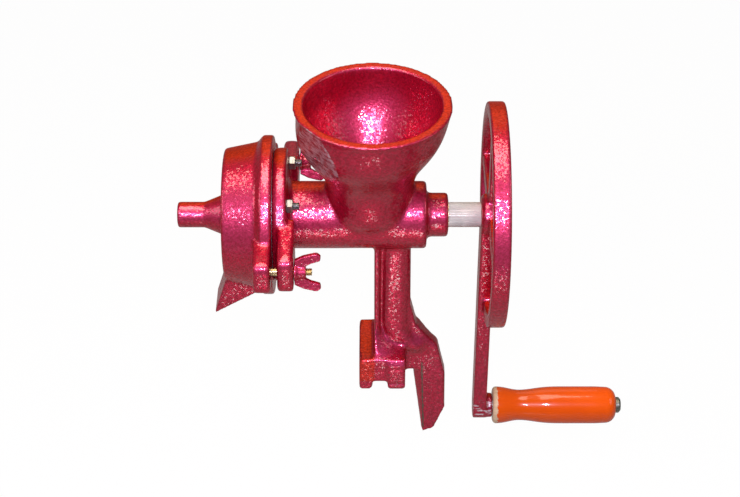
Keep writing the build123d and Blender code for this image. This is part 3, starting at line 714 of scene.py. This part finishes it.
def hex_nut(shape, x0, x1, across, bore, y, z, turn=0.0, steps=60):
    """Hexagon nut with both faces bevelled at the corners."""
    flat = across / 2
    sixth = math.pi / 3

    def radius_at(x, angle):
        side = (angle - turn) % sixth - sixth / 2
        edge = min(x - x0, x1 - x)
        return min(flat / math.cos(side), 0.97 * flat + 1.8 * edge)

    bevel = 0.11 * flat
    places = [x0 + bevel * i / 3 for i in range(4)] + [x1 - bevel * i / 3 for i in (3, 2, 1, 0)]
    rings = [ring_at(shape, x, radius_at, steps, y, z) for x in places]
    for near, far in zip(rings, rings[1:]):
        join_rings(shape, near, far)
    holes = [ring_at(shape, x, lambda x, angle: bore, steps, y, z) for x in (x0, x1)]
    join_rings(shape, rings[0], holes[0])
    join_rings(shape, rings[-1], holes[1])
    join_rings(shape, *holes)


def shortened(node, new_end):
    """The node's mesh with its far end pulled in to new_end."""
    shape = bmesh.new()
    shape.from_mesh(nodes[node].data)
    bmesh.ops.remove_doubles(shape, verts=shape.verts, dist=1e-6)
    for vert in shape.verts:
        vert.co.x = min(vert.co.x, new_end)
    return shape


def finished(shape, node, name, finish):
    """Make the shape a piece that stands for the node."""
    bmesh.ops.recalc_face_normals(shape, faces=shape.faces)
    mesh = bpy.data.meshes.new(name)
    shape.to_mesh(mesh)
    shape.free()
    mesh.shade_smooth()
    mesh.set_sharp_from_angle(angle=math.radians(32))
    piece = linked(name, mesh)
    mesh.materials.append(finish)
    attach(piece, nodes[node]["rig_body"])
    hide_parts(node)


small_thread = (0.003, 0.001)       # radius and pitch of studs and plate bolts
shaft_end_thread = (0.006, 0.00175)


def threaded_studs():
    for side, y in (("front", -stud_y), ("rear", stud_y)):
        node = "cover_stud_" + side
        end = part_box(node)[1].x
        start = end - stud_thread
        shape = shortened(node, start)
        thread(shape, start, end, *small_thread, y, shaft_z)
        finished(shape, node, "threaded_stud_" + side, yellow_zinc)


def threaded_plate_bolts():
    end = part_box("plate_bolts")[1].x
    nut_low, nut_high = (corner.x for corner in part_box("plate_nuts"))
    tails = shortened("plate_bolts", nut_low)
    nuts = bmesh.new()
    for y in (-bolt_y, bolt_y):
        for z in (shaft_z - bolt_y, shaft_z + bolt_y):
            thread(tails, nut_low, end, *small_thread, y, z, steps=24)
            hex_nut(nuts, nut_low, nut_high, 0.010, 0.0031, y, z, turn=nut_turn)
    finished(tails, "plate_bolts", "threaded_plate_bolts", bolt_steel)
    finished(nuts, "plate_nuts", "plate_hex_nuts", nut_steel)


def threaded_shaft_end():
    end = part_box("drive_shaft")[1].x
    low, high = (corner.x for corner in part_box("wheel_nut"))
    shape = shortened("drive_shaft", low)
    thread(shape, low, end, *shaft_end_thread, 0.0, shaft_z, steps=36)
    finished(shape, "drive_shaft", "threaded_drive_shaft", bright_steel)
    nut = bmesh.new()
    bore = shaft_end_thread[0] + 0.0001
    hex_nut(nut, low, high, 0.019, bore, 0.0, shaft_z, turn=nut_turn)
    finished(nut, "wheel_nut", "wheel_hex_nut", nut_steel)


threaded_studs()
threaded_plate_bolts()
threaded_shaft_end()


# ---------------------------------------------------------------- stage and light
def make_stage():
    """Floor that the camera sees almost white and that gives the object little light."""
    shape = bmesh.new()
    bmesh.ops.create_grid(shape, x_segments=1, y_segments=1, size=6.0)
    mesh = bpy.data.meshes.new("floor")
    shape.to_mesh(mesh)
    shape.free()
    floor = linked("floor", mesh)
    mesh.transform(Matrix.Translation((0.0, 0.0, floor_z)))
    material = bpy.data.materials.new("pale_floor")
    material.use_nodes = True
    tree = material.node_tree
    shader = tree.nodes["Principled BSDF"]
    shader.inputs["Roughness"].default_value = 0.9
    shader.inputs["Specular IOR Level"].default_value = 0.1
    seen = tree.nodes.new("ShaderNodeLightPath")
    tone = mix_colour(tree, seen.outputs["Is Camera Ray"], (0.3, 0.3, 0.3), (0.86, 0.86, 0.86))
    tree.links.new(tone, shader.inputs["Base Color"])
    shown = math_node(tree, "MULTIPLY", seen.outputs["Is Camera Ray"], 0.96)
    mirrored = math_node(tree, "MULTIPLY", seen.outputs["Is Glossy Ray"], 0.15)
    direct = math_node(tree, "MAXIMUM", shown, mirrored)
    glow = tree.nodes.new("ShaderNodeEmission")
    mix = tree.nodes.new("ShaderNodeMixShader")
    tree.links.new(direct, mix.inputs[0])
    tree.links.new(shader.outputs[0], mix.inputs[1])
    tree.links.new(glow.outputs[0], mix.inputs[2])
    tree.links.new(mix.outputs[0], tree.nodes["Material Output"].inputs["Surface"])
    mesh.materials.append(material)


def make_world():
    """White for the camera, and faint for all else."""
    world = bpy.data.worlds.new("studio")
    bpy.context.scene.world = world
    world.use_nodes = True
    tree = world.node_tree
    seen = tree.nodes.new("ShaderNodeLightPath")
    lit = tree.nodes["Background"]
    lit.inputs["Color"].default_value = (1.0, 1.0, 1.0, 1.0)
    lit.inputs["Strength"].default_value = 0.18
    white = tree.nodes.new("ShaderNodeBackground")
    white.inputs["Color"].default_value = (1.0, 1.0, 1.0, 1.0)
    white.inputs["Strength"].default_value = 1.0
    mix = tree.nodes.new("ShaderNodeMixShader")
    tree.links.new(seen.outputs["Is Camera Ray"], mix.inputs[0])
    tree.links.new(lit.outputs[0], mix.inputs[1])
    tree.links.new(white.outputs[0], mix.inputs[2])
    tree.links.new(mix.outputs[0], tree.nodes["World Output"].inputs["Surface"])


def soft_lamp(name, place, aim, size, power, spread, colour):
    lamp = bpy.data.lights.new(name, "AREA")
    lamp.color = colour
    lamp.shape = "DISK"
    lamp.size = size
    lamp.energy = power
    lamp.spread = math.radians(spread)
    holder = linked(name, lamp)
    holder.location = place
    way = Vector(aim) - Vector(place)
    holder.rotation_euler = way.to_track_quat("-Z", "Y").to_euler()


def make_camera():
    """The photo's camera, 1.48 m from the shaft and looking down by 37 degrees."""
    camera = bpy.data.cameras.new("photo_camera")
    camera.sensor_width = 36.0
    camera.lens = 90.0
    camera.clip_end = 50.0
    holder = linked("photo_camera", camera)
    holder.location = (shaft_x, -1.1983, 1.0295)
    holder.rotation_euler = (math.radians(53.0), 0.0, 0.0)
    bpy.context.scene.camera = holder


make_stage()
make_world()
make_camera()
centre = (0.0, 0.0, 0.12)
table_edge = (-0.02, 0.0, 0.14)
plain = (1.0, 1.0, 1.0)
flash = (1.0, 0.95, 1.3)
warm = (1.0, 0.86, 0.7)
# name, place, aim, size, watts, spread in degrees, colour
lamps = [
    ("camera_side", (0.0, -1.22, 1.12), centre, 0.20, 15.0, 180.0, flash),
    ("table_bounce", (-0.02, -0.82, -0.34), table_edge, 0.22, 0.02, 20.0, plain),
    ("umbrella", (-0.42, -1.15, 1.05), centre, 0.35, 8.0, 180.0, flash),
    ("left_window", (-1.4, -0.3, 0.9), centre, 0.9, 5.0, 180.0, plain),
    ("right_window", (1.4, -0.3, 0.9), centre, 0.9, 4.0, 180.0, plain),
    ("ceiling", (-0.2, 0.1, 1.9), centre, 1.2, 30.0, 180.0, warm),
    ("back_window", (0.0, 1.5, 1.15), centre, 1.0, 2.2, 180.0, warm),
]
for lamp in lamps:
    soft_lamp(*lamp)

bpy.context.scene.view_settings.view_transform = "Standard"
